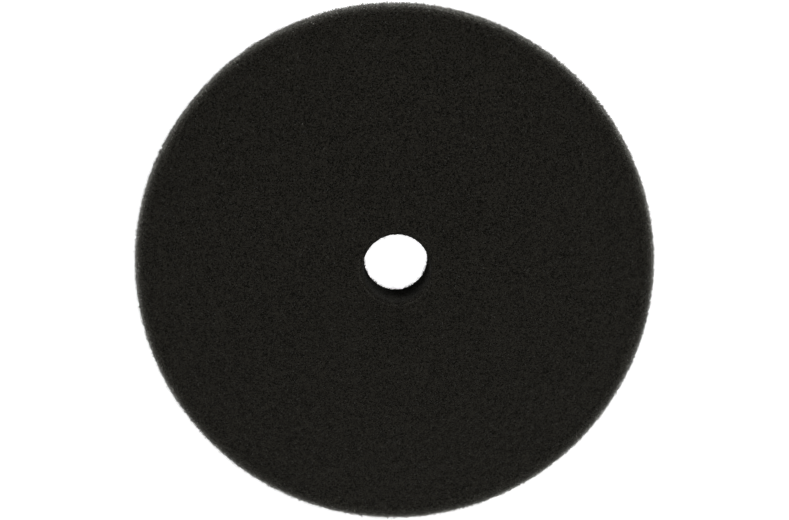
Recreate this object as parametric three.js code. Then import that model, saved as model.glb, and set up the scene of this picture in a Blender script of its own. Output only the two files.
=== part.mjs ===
// A flat foam polishing pad for a machine polisher. It is a laminate of three
// round layers around one straight centre hole: the foam disc that does the
// polishing, a hot-melt film, and the loop fabric that grips the hooks of a
// backing plate.
//
// Millimetres, +Z up. The origin is the centre of the loop face, which is the
// underside, and the working face looks up along +Z.

import * as THREE from 'three';

// Driving dimensions.
const workingDiameter = 160;
const backDiameter = 150;
const holeDiameter = 21;
const foamThickness = 25;
const filmThickness = 0.2;
const loopThickness = 1.4;
const rimRounding = 3.5; // from the working face over into the side
const mouthRounding = 1.9; // from the working face down into the centre hole

// Fineness of the faceted solids.
const sectorsAround = 96;
const arcDivisions = 2; // a path draws each arc with twice as many straight steps

const backRadius = backDiameter / 2;
const holeRadius = holeDiameter / 2;

// Heights where one layer ends and the next begins.
const loopTop = loopThickness;
const filmTop = loopTop + filmThickness;
const foamTop = filmTop + foamThickness;

const foamMaterial = new THREE.MeshStandardMaterial({
  name: 'black open-cell foam',
  color: new THREE.Color().setRGB(0.0123, 0.012, 0.0103),
  roughness: 1,
  metalness: 0,
});

const filmMaterial = new THREE.MeshStandardMaterial({
  name: 'smoky hot-melt film',
  color: new THREE.Color().setRGB(0.045, 0.043, 0.04),
  roughness: 0.45,
  metalness: 0,
});

const loopMaterial = new THREE.MeshStandardMaterial({
  name: 'black brushed loop fabric',
  color: new THREE.Color().setRGB(0.018, 0.018, 0.019),
  roughness: 0.95,
  metalness: 0,
});

// A section is half of a layer's cross-section, as a closed path: x is the
// distance from the pad's axis and y is the height.

// The foam's side flares out from the edge of its back and runs into the rim's
// rounding as a tangent, so the pad is widest just under its working face.
function foamSection() {
  const rimCentre = new THREE.Vector2(workingDiameter / 2 - rimRounding, foamTop - rimRounding);
  const mouthCentre = new THREE.Vector2(holeRadius + mouthRounding, foamTop - mouthRounding);
  const backEdge = new THREE.Vector2(backRadius, filmTop);
  const backToRim = rimCentre.clone().sub(backEdge);
  const lean = Math.atan2(backToRim.x, backToRim.y);
  const flare = lean + Math.asin(rimRounding / backToRim.length());

  const section = new THREE.Path();
  section.absarc(rimCentre.x, rimCentre.y, rimRounding, -flare, 0, false);
  section.absarc(rimCentre.x, rimCentre.y, rimRounding, 0, Math.PI / 2, false);
  section.absarc(mouthCentre.x, mouthCentre.y, mouthRounding, Math.PI / 2, Math.PI, false);
  section.lineTo(holeRadius, filmTop);
  section.lineTo(backEdge.x, backEdge.y);
  section.closePath(); // the flared side
  return section;
}

// The thin layers are as wide as the foam's back and have the same hole.
function thinLayerSection(bottom, top) {
  const section = new THREE.Path();
  section.moveTo(backRadius, bottom);
  section.lineTo(backRadius, top);
  section.lineTo(holeRadius, top);
  section.lineTo(holeRadius, bottom);
  section.closePath();
  return section;
}

// Turns a section about the pad's axis into one closed ring.
function ring(name, section, material) {
  const geometry = new THREE.LatheGeometry(section.getPoints(arcDivisions), sectorsAround);
  geometry.rotateX(Math.PI / 2); // the lathe turns about Y, and the pad's axis is Z
  const mesh = new THREE.Mesh(geometry, material);
  mesh.name = name;
  return mesh;
}

const pad = new THREE.Group();
pad.name = 'polishing pad';
pad.add(ring('foam_pad', foamSection(), foamMaterial));
pad.add(ring('bond_film', thinLayerSection(loopTop, filmTop), filmMaterial));
pad.add(ring('loop_backing', thinLayerSection(0, loopTop), loopMaterial));

export default pad;
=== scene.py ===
import math

import bpy
import numpy as np
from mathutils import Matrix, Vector, noise

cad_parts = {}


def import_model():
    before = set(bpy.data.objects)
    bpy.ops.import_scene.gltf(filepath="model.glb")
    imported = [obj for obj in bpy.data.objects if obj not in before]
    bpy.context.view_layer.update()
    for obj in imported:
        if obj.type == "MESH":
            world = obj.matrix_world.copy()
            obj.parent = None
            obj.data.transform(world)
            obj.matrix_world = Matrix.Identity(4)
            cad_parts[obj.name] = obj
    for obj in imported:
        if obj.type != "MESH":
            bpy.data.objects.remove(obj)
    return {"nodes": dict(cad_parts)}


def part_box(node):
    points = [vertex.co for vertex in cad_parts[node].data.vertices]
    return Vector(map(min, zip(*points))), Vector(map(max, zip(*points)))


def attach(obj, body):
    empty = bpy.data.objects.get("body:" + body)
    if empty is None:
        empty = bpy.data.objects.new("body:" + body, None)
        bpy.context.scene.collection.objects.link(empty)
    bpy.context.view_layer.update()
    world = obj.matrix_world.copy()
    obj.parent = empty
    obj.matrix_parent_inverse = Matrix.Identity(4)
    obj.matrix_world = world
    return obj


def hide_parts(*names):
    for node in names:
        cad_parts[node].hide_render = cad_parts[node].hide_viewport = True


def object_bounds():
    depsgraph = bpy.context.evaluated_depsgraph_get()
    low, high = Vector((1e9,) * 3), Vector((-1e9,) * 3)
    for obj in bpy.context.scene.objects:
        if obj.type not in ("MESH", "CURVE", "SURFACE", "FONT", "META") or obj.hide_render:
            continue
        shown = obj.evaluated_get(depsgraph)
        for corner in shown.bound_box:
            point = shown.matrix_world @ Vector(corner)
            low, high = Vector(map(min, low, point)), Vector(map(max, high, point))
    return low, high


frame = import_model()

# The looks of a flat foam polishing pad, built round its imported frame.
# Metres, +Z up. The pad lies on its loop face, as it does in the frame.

cad_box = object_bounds()

MM = 0.001
TURN = 2 * math.pi
ROW = math.sqrt(3) / 2  # height of an even-sided triangle over its side
HAIR = 0.01 * MM  # heights closer than this are level

# One seed for each piece, so that a change to one leaves the others as they are.
FOAM_SEED = 11
STRUT_SEED = 23
FILM_SEED = 5
FABRIC_SEED = 7
LOOP_SEED = 31


# ---------------------------------------------------------------- camera

LENS = 54.8  # on Blender's 36 mm sensor
VIEW_DISTANCE = 367.7 * MM
VIEW_TILT = math.radians(7.1)
VIEW_SWING = math.radians(1.0)
AIM = Vector((-0.75 * MM, 2.5 * MM, cad_box[1].z))  # the point of the face that it looks at


def make_camera():
    """Looks down on the working face from a little above its centre and to the left of it."""
    data = bpy.data.cameras.new("camera")
    data.lens = LENS
    camera = bpy.data.objects.new("camera", data)
    camera.rotation_euler = (-VIEW_TILT, -VIEW_SWING, 0)
    looking = camera.rotation_euler.to_matrix() @ Vector((0, 0, -1))
    camera.location = AIM - looking * VIEW_DISTANCE
    bpy.context.scene.collection.objects.link(camera)
    bpy.context.scene.camera = camera


# ---------------------------------------------------------------- sizes from the frame

def radii(node, above=-math.inf):
    """The smallest and largest distance from the pad's axis of a node's points above a height."""
    points = [v.co for v in frame["nodes"][node].data.vertices if v.co.z > above]
    distances = [math.hypot(point.x, point.y) for point in points]
    return min(distances), max(distances)


foam_bottom, foam_top = (corner.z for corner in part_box("foam_pad"))
hole_radius, rim_radius = radii("foam_pad")
face_inner, face_outer = radii("foam_pad", foam_top - HAIR)
back_radius = radii("bond_film")[1]
film_bottom, film_top = (corner.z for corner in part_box("bond_film"))
loop_bottom, loop_top = (corner.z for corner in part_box("loop_backing"))

rim_rounding = rim_radius - face_outer
mouth_rounding = face_inner - hole_radius
rim_centre = (face_outer, foam_top - rim_rounding)
mouth_centre = (face_inner, foam_top - mouth_rounding)


# ---------------------------------------------------------------- surfaces of revolution

def arc(centre, radius, start, end, spacing):
    """Points on an arc of the cross-section, as (distance from the axis, height)."""
    steps = max(1, round(radius * abs(end - start) / spacing))
    angles = np.linspace(start, end, steps + 1)
    return [(centre[0] + radius * math.cos(a), centre[1] + radius * math.sin(a)) for a in angles]


def evenly(corners, spacing):
    """Points along the line through the corners, about the spacing apart, without its last corner."""
    points = []
    for start, end in zip(corners[:-1], corners[1:]):
        steps = max(1, round(math.dist(start, end) / spacing))
        shares = np.arange(steps)[:, None] / steps
        points.extend(np.array(start) + shares * np.subtract(end, start))
    return points


def before(start, end, distance):
    """The point of a line that lies a distance before its end."""
    share = distance / math.dist(start, end)
    return tuple(np.add(end, share * np.subtract(start, end)))


def stitch(first_a, angles_a, first_b, angles_b):
    """Triangles between two neighbouring rings of points, whose angles rise through one turn."""
    count_a, count_b = len(angles_a), len(angles_b)
    ends_a = np.append(angles_a[1:], angles_a[0] + TURN)
    ends_b = np.append(angles_b[1:], angles_b[0] + TURN)
    a, b = np.arange(count_a), np.arange(count_b)
    apex_b = np.searchsorted(ends_b, ends_a, side="left") % count_b
    apex_a = np.searchsorted(ends_a, ends_b, side="right") % count_a
    on_a = np.stack([first_a + a, first_a + (a + 1) % count_a, first_b + apex_b], axis=1)
    on_b = np.stack([first_b + (b + 1) % count_b, first_b + b, first_a + apex_a], axis=1)
    return np.concatenate([on_a, on_b])


def revolved(stretches, chance):
    """Points, outward normals and triangles of a closed ring made of near-even triangles.

    Each stretch is (cross-section points, spacing). Together they run anticlockwise round the
    cross-section, so the side is climbed and the hole's wall is gone down.
    """
    section = np.array([point for points, _ in stretches for point in points])
    spacings = [spacing for points, spacing in stretches for _ in points]
    along = np.roll(section, -1, axis=0) - np.roll(section, 1, axis=0)
    along /= np.linalg.norm(along, axis=1)[:, None]
    points, normals, rings, firsts = [], [], [], [0]
    for (radius, height), (run, rise), spacing in zip(section, along, spacings):
        count = round(TURN * radius / spacing)
        angles = (np.arange(count) + chance.random()) * TURN / count
        out = np.column_stack([np.cos(angles), np.sin(angles), np.zeros(count)])
        points.append(out * radius + (0, 0, height))
        normals.append(out * rise - (0, 0, run))
        rings.append(angles)
        firsts.append(firsts[-1] + count)
    triangles = []
    for k, angles in enumerate(rings):
        after = (k + 1) % len(rings)
        triangles.append(stitch(firsts[k], angles, firsts[after], rings[after]))
    return np.concatenate(points), np.concatenate(normals), np.concatenate(triangles)


def mesh_piece(name, points, triangles, materials, slots_of_triangles=None):
    """A smooth mesh that rides on the pad."""
    mesh = bpy.data.meshes.new(name)
    mesh.from_pydata(points.tolist(), [], triangles.tolist())
    for material in materials:
        mesh.materials.append(material)
    if slots_of_triangles is not None:
        mesh.polygons.foreach_set("material_index", slots_of_triangles.astype(np.int32))
    mesh.shade_smooth()
    piece = bpy.data.objects.new(name, mesh)
    bpy.context.scene.collection.objects.link(piece)
    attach(piece, "root")
    return piece


# ---------------------------------------------------------------- node trees

class Nodes:
    """A short way to write a material or a world: each call adds one node and returns its output."""

    def __init__(self, owner):
        owner.use_nodes = True
        self.owner = owner
        self.tree = owner.node_tree

    def set(self, socket, value):
        if isinstance(value, bpy.types.NodeSocket):
            self.tree.links.new(value, socket)
        else:
            socket.default_value = value

    def add(self, kind, inputs, output=0, **settings):
        node = self.tree.nodes.new("ShaderNode" + kind)
        for key, value in settings.items():
            setattr(node, key, value)
        for key, value in inputs.items():
            self.set(node.inputs[key], value)
        return node.outputs[output]

    def shade(self, inputs, shader="Principled BSDF"):
        """Sets or links inputs of the shader itself."""
        for key, value in inputs.items():
            self.set(self.tree.nodes[shader].inputs[key], value)

    def place(self):
        return self.add("TexCoord", {}, "Object")

    def math(self, operation, *values):
        return self.add("Math", dict(enumerate(values)), operation=operation)

    def ramp(self, value, low, high, to_low, to_high):
        """Low to high becomes to_low to to_high, and nothing goes past either."""
        inputs = {"Value": value, "From Min": low, "From Max": high, "To Min": to_low, "To Max": to_high}
        return self.add("MapRange", inputs, clamp=True)

    def mix(self, factor, first, second):
        """Colours mixed by a factor."""
        return self.add("Mix", {0: factor, 6: first, 7: second}, output=2, data_type="RGBA")

    def cells(self, place, size, feature, output):
        inputs = {"Vector": place, "Scale": 1 / size}
        return self.add("TexVoronoi", inputs, output, feature=feature)

    def noise(self, place, size, detail=2.0):
        inputs = {"Vector": place, "Scale": 1 / size, "Detail": detail}
        return self.add("TexNoise", inputs, "Fac")


def material_nodes(name):
    return Nodes(bpy.data.materials.new(name))


# ---------------------------------------------------------------- materials

CELL = 0.32 * MM  # how wide one open cell is
STRUT_CELL = 0.4 * MM  # the spacing of the net of struts over the cells
CLOUD = 9 * MM  # breadth of the faint patches
CELL_RELIEF = 0.15 * MM  # how deep the bump of the cells is
# the pits' dark is painted shade in the open cells
PIT_SHADE = (0.0004, 0.0004, 0.0003, 1)
STRUT = (0.0274, 0.0254, 0.0204, 1)
# paler strut colour, painted on as a highlight along the rim and as light down the hole
PAINTED_LIGHT_STRUT = (0.210, 0.207, 0.186, 1)
SHEEN_TINT = (1.0, 0.99, 0.86, 1)
CELL_TONE = 1.22  # how much the colour follows each cell's own level: lower cells are darkened as painted shade
STRUT_TONE = 0.65  # how much it follows the net of struts: the pits between them are darkened as painted shade
CLOUD_TONE = 0.15  # how much it follows the faint patches
TONE_SHIFT = -0.365  # brings the middle tone between pit and strut
STRUT_EDGE = (0.02, 0.2)  # how far from a cell's border a strut is whole, and how far it reaches
STRUT_SHARE = (0.1, 1.9)  # how much of the painted light's paler colour a pit takes, and how much a strut
CELL_HEIGHT = 0.6  # what a cell's own level counts for in the relief, beside a strut's 1
FOAM_ROUGHNESS = (0.85, 1.0)  # of the lowest cell and of the highest
FOAM_GLOSS = 0.03
FOAM_SHEEN = 0.15
BORE_SHEEN = 0.0  # the punched wall has no nap
SHEEN_ROUGHNESS = 0.3


def foam_material(name, sheen):
    """Black foam of fine open cells: dark pits between lighter struts, each cell at its own level; the
    pits and the lower cells are darkened as painted shade.

    Where the attribute says so, a paler colour is painted on: a painted highlight along the rim, fading
    down the side, and painted light down the hole's wall.
    """
    n = material_nodes(name)
    place = n.place()
    strut = n.ramp(n.cells(place, STRUT_CELL, "DISTANCE_TO_EDGE", "Distance"), *STRUT_EDGE, 1.0, 0.0)
    level = n.add("SeparateColor", {"Color": n.cells(place, CELL, "F1", "Color")}, "Red")
    cloud = n.math("SUBTRACT", n.noise(place, CLOUD), 0.5)
    # the painted highlight along the rim and the painted light down the hole, read from the mesh
    painted_light = n.add("Attribute", {}, "Fac", attribute_name="painted_light")
    tone = n.math("MULTIPLY_ADD", strut, STRUT_TONE, TONE_SHIFT)
    tone = n.math("MULTIPLY_ADD", level, CELL_TONE, tone)
    tone = n.math("MULTIPLY_ADD", cloud, CLOUD_TONE, tone)
    lit = n.math("MULTIPLY", painted_light, n.ramp(tone, 0.0, 1.0, *STRUT_SHARE))
    colour = n.mix(lit, n.mix(tone, PIT_SHADE, STRUT), PAINTED_LIGHT_STRUT)
    height = n.math("MULTIPLY_ADD", level, CELL_HEIGHT, strut)
    bump = n.add("Bump", {"Strength": 1.0, "Distance": CELL_RELIEF, "Height": height})
    roughness = n.ramp(level, 0.0, 1.0, *FOAM_ROUGHNESS)
    n.shade({"Base Color": colour, "Roughness": roughness, "Normal": bump})
    n.shade({"Specular IOR Level": FOAM_GLOSS, "Sheen Weight": sheen})
    n.shade({"Sheen Roughness": SHEEN_ROUGHNESS, "Sheen Tint": SHEEN_TINT})
    return n.owner


FIBRE_TINT = (1.0, 0.99, 0.9)


def fibre_materials(name, shades, roughness):
    """One material for each shade of a fine fibre or strut."""
    made = []
    for number, shade in enumerate(shades):
        n = material_nodes(f"{name}_{number}")
        colour = tuple(shade * share for share in FIBRE_TINT)
        n.shade({"Base Color": (*colour, 1), "Roughness": roughness})
        made.append(n.owner)
    return made


FILM_CLOUD = 1.5 * MM  # breadth of its thicker and thinner spots
FILM_THICK = (0.010, 0.010, 0.009, 1)
FILM_THIN = (0.045, 0.043, 0.040, 1)
FILM_ROUGHNESS = (0.3, 0.55)
MIDDLE = (0.3, 0.7)  # where most of a noise texture's values lie
FINE_DETAIL = 4.0  # how many times finer noise is added


def film_material():
    """Hot-melt film, smoky and a little shiny."""
    n = material_nodes("smoky_hot_melt_film")
    cloud = n.noise(n.place(), FILM_CLOUD, FINE_DETAIL)
    colour = n.mix(cloud, FILM_THICK, FILM_THIN)
    n.shade({"Base Color": colour, "Roughness": n.ramp(cloud, *MIDDLE, *FILM_ROUGHNESS)})
    return n.owner


TANGLE = 0.35 * MM  # breadth of the fibres' tangle
TANGLE_RELIEF = 0.1 * MM
FABRIC_CLOUD = 6 * MM  # breadth of its faint patches
FABRIC_CLOUD_TONE = 0.5
# the deep parts of the tangle, painted dark as shade
FABRIC_DEEP_SHADE = (0.003, 0.003, 0.003, 1)
FABRIC_FIBRE = (0.032, 0.031, 0.030, 1)
FABRIC_ROUGHNESS = (0.75, 0.95)
FABRIC_GLOSS = 0.2
FABRIC_SHEEN = 0.2
FABRIC_SHEEN_ROUGHNESS = 0.4


def loop_material():
    """Black brushed knit: a fine tangle of dull fibres, darkened as painted shade where the tangle is
    deep.
    """
    n = material_nodes("black_brushed_loop_fabric")
    place = n.place()
    fibre = n.noise(place, TANGLE, FINE_DETAIL)
    cloud = n.noise(place, FABRIC_CLOUD)
    tone = n.math("MULTIPLY_ADD", n.math("SUBTRACT", cloud, 0.5), FABRIC_CLOUD_TONE, fibre)
    colour = n.mix(tone, FABRIC_DEEP_SHADE, FABRIC_FIBRE)
    bump = n.add("Bump", {"Strength": 0.7, "Distance": TANGLE_RELIEF, "Height": fibre})
    roughness = n.ramp(fibre, *MIDDLE, *FABRIC_ROUGHNESS)
    n.shade({"Base Color": colour, "Roughness": roughness, "Normal": bump})
    n.shade({"Specular IOR Level": FABRIC_GLOSS, "Sheen Weight": FABRIC_SHEEN})
    n.shade({"Sheen Roughness": FABRIC_SHEEN_ROUGHNESS})
    return n.owner


# ---------------------------------------------------------------- the foam

FINE = 0.4 * MM  # spacing of the mesh round the rim and the mouth
COARSE = 0.77 * MM  # on the face and the side
HIDDEN = 4 * MM  # where the film covers the foam
FINE_REACH = 0.6 * MM  # how far the fine mesh goes on past a rounding

RIM_STRAY = 0.45 * MM  # how far the soft rim sits to the left of the hole's axis
RIM_INSET = 0.32 * MM  # how far the solid surface lies within the fringe of struts that the size includes
HOLE_LEAN = 0.35 * MM  # how far the hole's mouth sits off its foot, towards the pad's lower side
WAVE_ORDERS = range(3, 12)  # how many waves to the turn the rim strays by
WAVE = 0.09 * MM  # height of those waves, over their order
PRESSED = 0.05 * MM  # how far the rim is pressed in on its lower side
PRESSED_AT = -math.pi / 2
PRESSED_WIDTH = 0.17  # of that dent, in radians
LUMP = 0.9 * MM  # breadth of the skived surface's bumps
LUMP_HEIGHT = 0.22 * MM
SIDE_ROUGHER = 1.6  # how much bigger the bumps are on the cut side
ROUGH = 0.04 * MM  # typical height of what is finer than that
RIM_HIGHLIGHT_DEPTH = 2.1 * MM  # below the face, where the rim's painted highlight is full
RIM_HIGHLIGHT_RISE = 3.2  # the power of the depth by which it gets there
RIM_HIGHLIGHT_FADE = 8 * MM  # the distance down the side over which that ends
SIDE_HIGHLIGHT = 0.12  # how much of that painted highlight stays on the rest of the side
BORE_PAINTED_LIGHT = 0.15  # how much painted light lightens the punched hole's wall, where it is deepest
BORE_DEPTH = 5 * MM  # below the face, where that is reached
BORE_SLOPE = math.radians(30)  # how steep the mouth's rounding is where the punched wall begins


def foam_section():
    """Up the flared side, over the rim, across the face, over the mouth, down the hole and back."""
    across, up = rim_centre[0] - back_radius, rim_centre[1] - foam_bottom
    flare = math.atan2(across, up) + math.asin(rim_rounding / math.hypot(across, up))
    rim = arc(rim_centre, rim_rounding, -flare, math.pi / 2, FINE * ROW)
    mouth = arc(mouth_centre, mouth_rounding, math.pi / 2, math.pi, FINE * ROW)
    side_foot = (back_radius, foam_bottom)
    hole_foot = (hole_radius, foam_bottom)
    below_rim = before(side_foot, rim[0], FINE_REACH)
    inside_rim = (rim_centre[0] - FINE_REACH, foam_top)
    outside_mouth = (mouth_centre[0] + FINE_REACH, foam_top)
    return [
        (evenly([side_foot, below_rim], COARSE * ROW), COARSE),
        (evenly([below_rim, *rim, inside_rim], FINE * ROW), FINE),
        (evenly([inside_rim, outside_mouth], COARSE * ROW), COARSE),
        (evenly([outside_mouth, *mouth, hole_foot], FINE * ROW), FINE),
        (evenly([hole_foot, side_foot], HIDDEN), HIDDEN),
    ]


def out_of_round(angles, chance):
    """How far the hand-soft rim strays from a true circle, by angle."""
    stray = -RIM_INSET - RIM_STRAY * np.cos(angles)
    for order in WAVE_ORDERS:
        stray += WAVE / order * np.cos(order * angles + TURN * chance.random())
    from_dent = (angles - PRESSED_AT + math.pi) % TURN - math.pi
    return stray - PRESSED * np.exp(-(from_dent / PRESSED_WIDTH) ** 2)


def painted_light_amount(points):
    """From 0 to 1, how much painted light each point takes: a painted highlight most along the rim, and
    painted light down the hole's wall, growing with depth.
    """
    radius = np.hypot(points[:, 0], points[:, 1])
    depth = foam_top - points[:, 2]
    rising = np.clip(depth / RIM_HIGHLIGHT_DEPTH, 0, 1) ** RIM_HIGHLIGHT_RISE
    fading = np.exp(-(np.clip(depth - RIM_HIGHLIGHT_DEPTH, 0, None) / RIM_HIGHLIGHT_FADE) ** 2)
    rim = rising * (SIDE_HIGHLIGHT + (1 - SIDE_HIGHLIGHT) * fading)
    bore = BORE_PAINTED_LIGHT * np.clip(depth / BORE_DEPTH, 0, 1)
    return np.where(radius < face_inner, bore, rim)


def foam_surface():
    """The foam's points, normals and triangles, with its soft unevenness."""
    chance = np.random.default_rng(FOAM_SEED)
    points, normals, triangles = revolved(foam_section(), chance)
    raised = LUMP_HEIGHT * np.array([noise.noise(Vector(point) / LUMP) for point in points])
    raised += chance.normal(0.0, ROUGH, len(points))
    raised[points[:, 2] < foam_bottom + HAIR] = 0.0
    radius = np.hypot(points[:, 0], points[:, 1])
    raised[(radius > back_radius) & (points[:, 2] < rim_centre[1])] *= SIDE_ROUGHER
    points = points + normals * raised[:, None]
    angles = np.arctan2(points[:, 1], points[:, 0])
    give = np.clip((radius - rim_radius / 2) / (rim_radius / 2), 0, 1)
    give *= np.clip((points[:, 2] - foam_bottom) / (rim_centre[1] - foam_bottom), 0, 1)
    stray = give * out_of_round(angles, chance)
    points[:, 0] += stray * np.cos(angles)
    points[:, 1] += stray * np.sin(angles)
    near_hole = np.clip((rim_radius / 2 - radius) / (rim_radius / 2 - hole_radius), 0, 1)
    points[:, 1] -= HOLE_LEAN * near_hole * (points[:, 2] - foam_bottom) / (foam_top - foam_bottom)
    return points, normals, triangles


def make_foam(surface):
    """The foam disc, with duller foam down the punched hole."""
    points, _, triangles = surface
    skin = foam_material("black_open_cell_foam", FOAM_SHEEN)
    bore = foam_material("black_foam_bore", BORE_SHEEN)
    middle = points[triangles].mean(axis=1)
    steep = mouth_centre[0] - mouth_rounding * math.sin(BORE_SLOPE)
    in_bore = np.hypot(middle[:, 0], middle[:, 1]) < steep
    in_bore &= middle[:, 2] > foam_bottom
    piece = mesh_piece("foam_disc", points, triangles, [skin, bore], in_bore)
    # the painted highlight along the rim and the painted light down the hole, stored on each point
    painted_light = piece.data.attributes.new("painted_light", "FLOAT", "POINT")
    painted_light.data.foreach_set("value", painted_light_amount(points))
    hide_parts("foam_pad")


# ---------------------------------------------------------------- cut struts standing up from the foam

TIPS_ON_FACE = 1.0 / MM**2  # how many stand on each square metre
TIPS_ON_SIDE = 2.0 / MM**2
TIPS_ON_RIM = 19.0 / MM**2
ABOVE_FILM = 0.5 * MM  # how far up the side the first ones stand
RIM_TIPS_DEPTH = 1.8 * MM  # below the face, where they stand thickest
RIM_TIPS_RISE = 3  # the power of the depth by which they get there
RIM_TIPS_FADE = 2.1 * MM  # the distance down the side over which they thin out
TIP_WIDTH = 0.13 * MM
TIP_WIDTHS = (0.6, 1.2)  # the narrowest and the widest, as shares of that
FACE_LENGTH = 0.3 * MM  # of a typical tip
RIM_LENGTH = 0.55 * MM
LONGEST = 3.0  # the longest tip, over the typical one
TIP_ROUGHNESS = 0.7
TIP_LEAN = 0.5  # how far they stray from standing upright, as a slope
FACE_SHADES = (0.012, 0.03, 0.07)
# the rim's struts are paler than the face's only as a painted highlight
RIM_HIGHLIGHT_SHADES = (0.05, 0.17, 0.42)


def shards(feet, directions, widths, lengths, chance):
    """Closed slivers of four faces, each from an edge a little under the surface to one across it."""
    count = len(feet)
    directions = directions / np.linalg.norm(directions, axis=1)[:, None]
    across = np.cross(directions, chance.normal(size=(count, 3)))
    across /= np.linalg.norm(across, axis=1)[:, None]
    across *= widths[:, None] / 2
    other = np.cross(directions, across)
    foot = feet - directions * widths[:, None]
    end = feet + directions * lengths[:, None]
    points = np.stack([foot - across, foot + across, end + other, end - other], axis=1).reshape(-1, 3)
    sides = np.array([(0, 2, 1), (0, 1, 3), (1, 2, 3), (2, 0, 3)])
    triangles = (4 * np.arange(count)[:, None, None] + sides).reshape(-1, 3)
    return points, triangles


def strut_tips(name, surface, density, length, shades, chance):
    """The ends of cut struts, so many to the area at each triangle of the foam."""
    points, normals, triangles = surface
    corners = points[triangles]
    doubled = np.cross(corners[:, 1] - corners[:, 0], corners[:, 2] - corners[:, 0])
    areas = np.linalg.norm(doubled, axis=1) / 2
    chosen = np.repeat(np.arange(len(triangles)), chance.poisson(areas * density))
    count = len(chosen)
    shares = chance.dirichlet((1, 1, 1), count)
    feet = np.einsum("ij,ijk->ik", shares, corners[chosen])
    directions = normals[triangles[chosen, 0]] + TIP_LEAN * chance.normal(size=(count, 3))
    lengths = length * np.minimum(np.sqrt(chance.exponential(1.0, count)), LONGEST)
    widths = TIP_WIDTH * chance.uniform(*TIP_WIDTHS, count)
    tip_points, tip_triangles = shards(feet, directions, widths, lengths, chance)
    materials = fibre_materials("black_" + name, shades, TIP_ROUGHNESS)
    slots = np.repeat(chance.integers(0, len(shades), count), len(tip_triangles) // count)
    mesh_piece(name, tip_points, tip_triangles, materials, slots)


def make_strut_tips(surface):
    """Sparse strut ends on the face and the side, and a thick fringe along the rim in paler shades, which
    are a painted highlight.
    """
    chance = np.random.default_rng(STRUT_SEED)
    points, _, triangles = surface
    middle = points[triangles].mean(axis=1)
    depth = foam_top - middle[:, 2]
    covered = middle[:, 2] < foam_bottom + ABOVE_FILM
    inner = np.hypot(middle[:, 0], middle[:, 1]) < (hole_radius + rim_radius) / 2
    sparse = np.where(inner | (depth < rim_rounding), TIPS_ON_FACE, TIPS_ON_SIDE)
    on_rim = np.clip(depth / RIM_TIPS_DEPTH, 0, 1) ** RIM_TIPS_RISE
    on_rim *= np.exp(-(np.clip(depth - rim_rounding, 0, None) / RIM_TIPS_FADE) ** 2)
    thick = np.where(inner, 0.0, TIPS_ON_RIM * on_rim)
    strut_tips("face_struts", surface, np.where(covered, 0.0, sparse), FACE_LENGTH, FACE_SHADES, chance)
    strut_tips("rim_struts", surface, np.where(covered, 0.0, thick), RIM_LENGTH, RIM_HIGHLIGHT_SHADES, chance)


# ---------------------------------------------------------------- film and loop fabric

FILM_SPACING = 0.5 * MM
OOZE = 0.12 * MM  # how far melted film stands out of the joint, on average
OOZE_SHAPE = 2.0  # of the gamma distribution: the lower, the more it comes in single beads
CLOTH_SPACING = 0.6 * MM
GROUND = 0.6 * MM  # height of the knit's underside, with its loops hanging below it
KNIT_RELIEF = 0.1 * MM


def make_film():
    """The hot-melt film, squeezed out a little between foam and fabric."""
    chance = np.random.default_rng(FILM_SEED)
    middle = (film_bottom + film_top) / 2
    nearly_in, nearly_out = hole_radius + FILM_SPACING, back_radius - FILM_SPACING
    outer = [(back_radius, film_bottom), (back_radius, middle), (back_radius, film_top)]
    inner = [(hole_radius, film_top), (hole_radius, middle), (hole_radius, film_bottom)]
    stretches = [
        (outer, FILM_SPACING),
        (evenly([(nearly_out, film_top), (nearly_in, film_top)], HIDDEN), HIDDEN),
        (inner, FILM_SPACING),
        (evenly([(nearly_in, film_bottom), (nearly_out, film_bottom)], HIDDEN), HIDDEN),
    ]
    points, _, triangles = revolved(stretches, chance)
    at_middle = np.abs(points[:, 2] - middle) < (film_top - film_bottom) / 4
    squeezed = np.where(at_middle, chance.gamma(OOZE_SHAPE, OOZE / OOZE_SHAPE, len(points)), 0.0)
    sideways = np.sign(np.hypot(points[:, 0], points[:, 1]) - (hole_radius + back_radius) / 2)
    out = points[:, :2] / np.hypot(points[:, 0], points[:, 1])[:, None]
    points[:, :2] += out * (squeezed * sideways)[:, None]
    piece = mesh_piece("melt_film", points, triangles, [film_material()])
    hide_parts("bond_film")
    return piece


def make_loop_fabric():
    """The knit that the loops stand on, cut flush with the back of the foam."""
    chance = np.random.default_rng(FABRIC_SEED)
    underside_and_edge = [(hole_radius, GROUND), (back_radius, GROUND), (back_radius, loop_top)]
    glued = [(back_radius, loop_top), (hole_radius, loop_top)]
    hole_edge = [(hole_radius, loop_top), (hole_radius, GROUND)]
    stretches = [
        (evenly(underside_and_edge, CLOTH_SPACING * ROW), CLOTH_SPACING),
        (evenly(glued, HIDDEN), HIDDEN),
        (evenly(hole_edge, CLOTH_SPACING * ROW), CLOTH_SPACING),
    ]
    points, normals, triangles = revolved(stretches, chance)
    relief = chance.normal(0.0, KNIT_RELIEF, len(points))
    relief[points[:, 2] > loop_top - HAIR] = 0.0
    points = points + normals * relief[:, None]
    piece = mesh_piece("loop_fabric", points, triangles, [loop_material()])
    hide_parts("loop_backing")
    return piece


LOOP_SEGMENTS = 6
LOOPS_ON_FACE = 5000
LOOPS_AT_EDGE = 4200
LOOPS_AT_HOLE = 700
LOOP_SPANS = (0.5 * MM, 1.4 * MM)  # from foot to foot
LOOP_DROPS = (0.25 * MM, 0.75 * MM)  # how far they hang down
LOOP_WIDTHS = (0.03 * MM, 0.055 * MM)  # half the thickness of a fibre
LOOP_LEAN = 0.25 * MM  # how far the middle of a loop typically strays sideways
LOOP_ROOT = 0.1 * MM  # how deep in the knit they start
LOOP_SHADES = (0.006, 0.015, 0.035)
LOOP_ROUGHNESS = 0.45
EDGE_BAND = 0.7 * MM  # how far in from a cut edge its fuzz starts
EDGE_FLARE = 0.5 * MM  # how far the fuzz leans out of a cut edge


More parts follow.
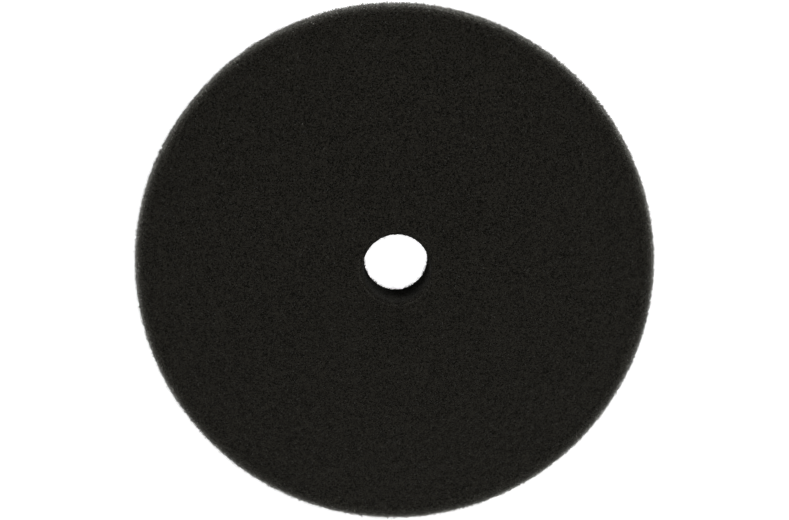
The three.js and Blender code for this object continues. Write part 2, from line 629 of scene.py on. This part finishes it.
def arches(feet, spans, drops, leans, widths):
    """Closed three-sided tubes that leave the cloth at one end of a span and come back at the other."""
    count = len(feet)
    shares = np.linspace(0, 1, LOOP_SEGMENTS + 1)
    bulge = np.sin(math.pi * shares)
    lines = feet[:, None] + spans[:, None] * (shares[:, None] - 0.5)
    lines = lines + (drops + leans)[:, None] * bulge[:, None]
    along = np.gradient(lines, axis=1)
    along /= np.linalg.norm(along, axis=2)[:, :, None]
    across = np.cross(along, np.cross(spans, drops)[:, None])
    across /= np.linalg.norm(across, axis=2)[:, :, None]
    other = np.cross(along, across)
    sides = [
        lines + widths[:, None, None] * (math.cos(a) * across + math.sin(a) * other)
        for a in (0, TURN / 3, 2 * TURN / 3)
    ]
    rings = np.stack(sides, axis=2)
    quads = []
    for k in range(LOOP_SEGMENTS):
        for a, b in ((0, 1), (1, 2), (2, 0)):
            low, high = 3 * k, 3 * k + 3
            quads.append((low + a, low + b, high + b))
            quads.append((low + a, high + b, high + a))
    last = 3 * LOOP_SEGMENTS
    shape = np.array([(0, 2, 1), *quads, (last, last + 1, last + 2)])
    triangles = (rings.shape[1] * 3 * np.arange(count)[:, None, None] + shape).reshape(-1, 3)
    return rings.reshape(-1, 3), triangles


def pile(name, distances, outward, chance):
    """Fine loops hanging from the cloth at these distances from the axis, leaning outward or anyhow."""
    count = len(distances)
    angles = TURN * chance.random(count)
    out = np.column_stack([np.cos(angles), np.sin(angles), np.zeros(count)])
    feet = out * distances[:, None] + (0, 0, GROUND + LOOP_ROOT)
    turned = TURN * chance.random(count)
    size = chance.uniform(*LOOP_SPANS, count)
    spans = np.column_stack([np.cos(turned), np.sin(turned), np.zeros(count)]) * size[:, None]
    depth = np.minimum(chance.uniform(*LOOP_DROPS, count), GROUND)
    drops = np.column_stack([np.zeros(count), np.zeros(count), -depth])
    leans = chance.normal(0.0, LOOP_LEAN, (count, 3)) * (1, 1, 0) + out * outward[:, None]
    widths = chance.uniform(*LOOP_WIDTHS, count)
    points, triangles = arches(feet, spans, drops, leans, widths)
    points[:, 2] = np.maximum(points[:, 2], loop_bottom)
    shades = fibre_materials("black_" + name, LOOP_SHADES, LOOP_ROUGHNESS)
    slots = np.repeat(chance.integers(0, len(shades), count), len(triangles) // count)
    return mesh_piece(name, points, triangles, shades, slots)


def make_piles():
    """The loops all over the back, and the fuzz along both cut edges of the fabric."""
    chance = np.random.default_rng(LOOP_SEED)
    inside = np.sqrt(chance.uniform(hole_radius**2, back_radius**2, LOOPS_ON_FACE))
    face = pile("loop_pile", inside, np.zeros(LOOPS_ON_FACE), chance)
    at_edge = back_radius - chance.uniform(0.0, EDGE_BAND, LOOPS_AT_EDGE)
    at_hole = hole_radius + chance.uniform(0.0, EDGE_BAND, LOOPS_AT_HOLE)
    leaning = chance.uniform(0.0, EDGE_FLARE, LOOPS_AT_EDGE + LOOPS_AT_HOLE)
    leaning[LOOPS_AT_EDGE:] *= -1
    edge = pile("edge_fuzz", np.concatenate([at_edge, at_hole]), leaning, chance)
    return [face, edge]


# ---------------------------------------------------------------- floor and light

WHITE = (1, 1, 1, 1)
FLOOR_RADIUS = 3.0
FLOOR_CORNERS = 96
FLOOR_COLOUR = (0.8, 0.8, 0.8, 1)
FLOOR_ROUGHNESS = 0.9
FLOOR_GAP = 0.1 * MM  # below the loops, so that the two never share a plane
FLOOR_GLOW = 0.6  # how much whiter the floor looks than the light on it makes it
GLOW_FADE = 1 * MM  # how far round the hole it falls to that, from the full white within
SKY = 0.3  # light from straight above
HORIZON = 3.4  # light from the walls of the studio, at the height of the floor
HORIZON_POWER = 3.0  # how fast that fades with height
SKY_SEEN = 1.05  # what the camera sees of either
SOFTBOX_WIDTH = 0.5
SOFTBOXES = (  # place, watts
    (Vector((0.52, 0.37, 0.72)), 3.4),
    (Vector((-0.64, 0.05, 0.70)), 1.7),
)


def make_floor():
    """A pale floor that looks white to the camera, even at the bottom of the hole."""
    n = material_nodes("pale_floor")
    to_camera = n.add("LightPath", {}, "Is Camera Ray")
    from_axis = n.add("VectorMath", {0: n.place()}, "Value", operation="LENGTH")
    glow = n.ramp(from_axis, hole_radius, hole_radius + GLOW_FADE, 1.0, FLOOR_GLOW)
    n.shade({"Base Color": FLOOR_COLOUR, "Roughness": FLOOR_ROUGHNESS})
    n.shade({"Emission Color": WHITE, "Emission Strength": n.math("MULTIPLY", to_camera, glow)})
    angles = np.arange(FLOOR_CORNERS) * TURN / FLOOR_CORNERS
    mesh = bpy.data.meshes.new("floor")
    rim = [(FLOOR_RADIUS * math.cos(a), FLOOR_RADIUS * math.sin(a), 0) for a in angles]
    mesh.from_pydata(rim, [], [list(range(len(rim)))])
    mesh.materials.append(n.owner)
    floor = bpy.data.objects.new("floor", mesh)
    floor.location.z = loop_bottom - FLOOR_GAP
    bpy.context.scene.collection.objects.link(floor)


def make_world():
    """A light tent, brighter towards the horizon, that the camera sees as plain white."""
    world = bpy.data.worlds.new("studio")
    n = Nodes(world)
    height = n.add("SeparateXYZ", {"Vector": n.add("TexCoord", {}, "Generated")}, "Z")
    near_horizon = n.math("POWER", n.ramp(height, 0.0, 1.0, 1.0, 0.0), HORIZON_POWER)
    light = n.ramp(near_horizon, 0.0, 1.0, SKY, HORIZON)
    to_camera = n.add("LightPath", {}, "Is Camera Ray")
    strength = n.ramp(to_camera, 0.0, 1.0, light, SKY_SEEN)
    n.shade({"Color": WHITE, "Strength": strength}, "Background")
    bpy.context.scene.world = world


def make_softboxes():
    """Two broad soft lights, the stronger one up to the right and behind the pad."""
    for place, watts in SOFTBOXES:
        data = bpy.data.lights.new("softbox", "AREA")
        data.size = SOFTBOX_WIDTH
        data.energy = watts
        softbox = bpy.data.objects.new("softbox", data)
        softbox.location = place
        softbox.rotation_euler = (-place).to_track_quat("-Z", "Y").to_euler()
        bpy.context.scene.collection.objects.link(softbox)


# ---------------------------------------------------------------- everything together

make_camera()
foam = foam_surface()
make_foam(foam)
make_strut_tips(foam)
film_piece = make_film()
cloth = make_loop_fabric()
make_piles()
make_floor()
make_world()
make_softboxes()
bpy.context.scene.view_settings.view_transform = "Standard"
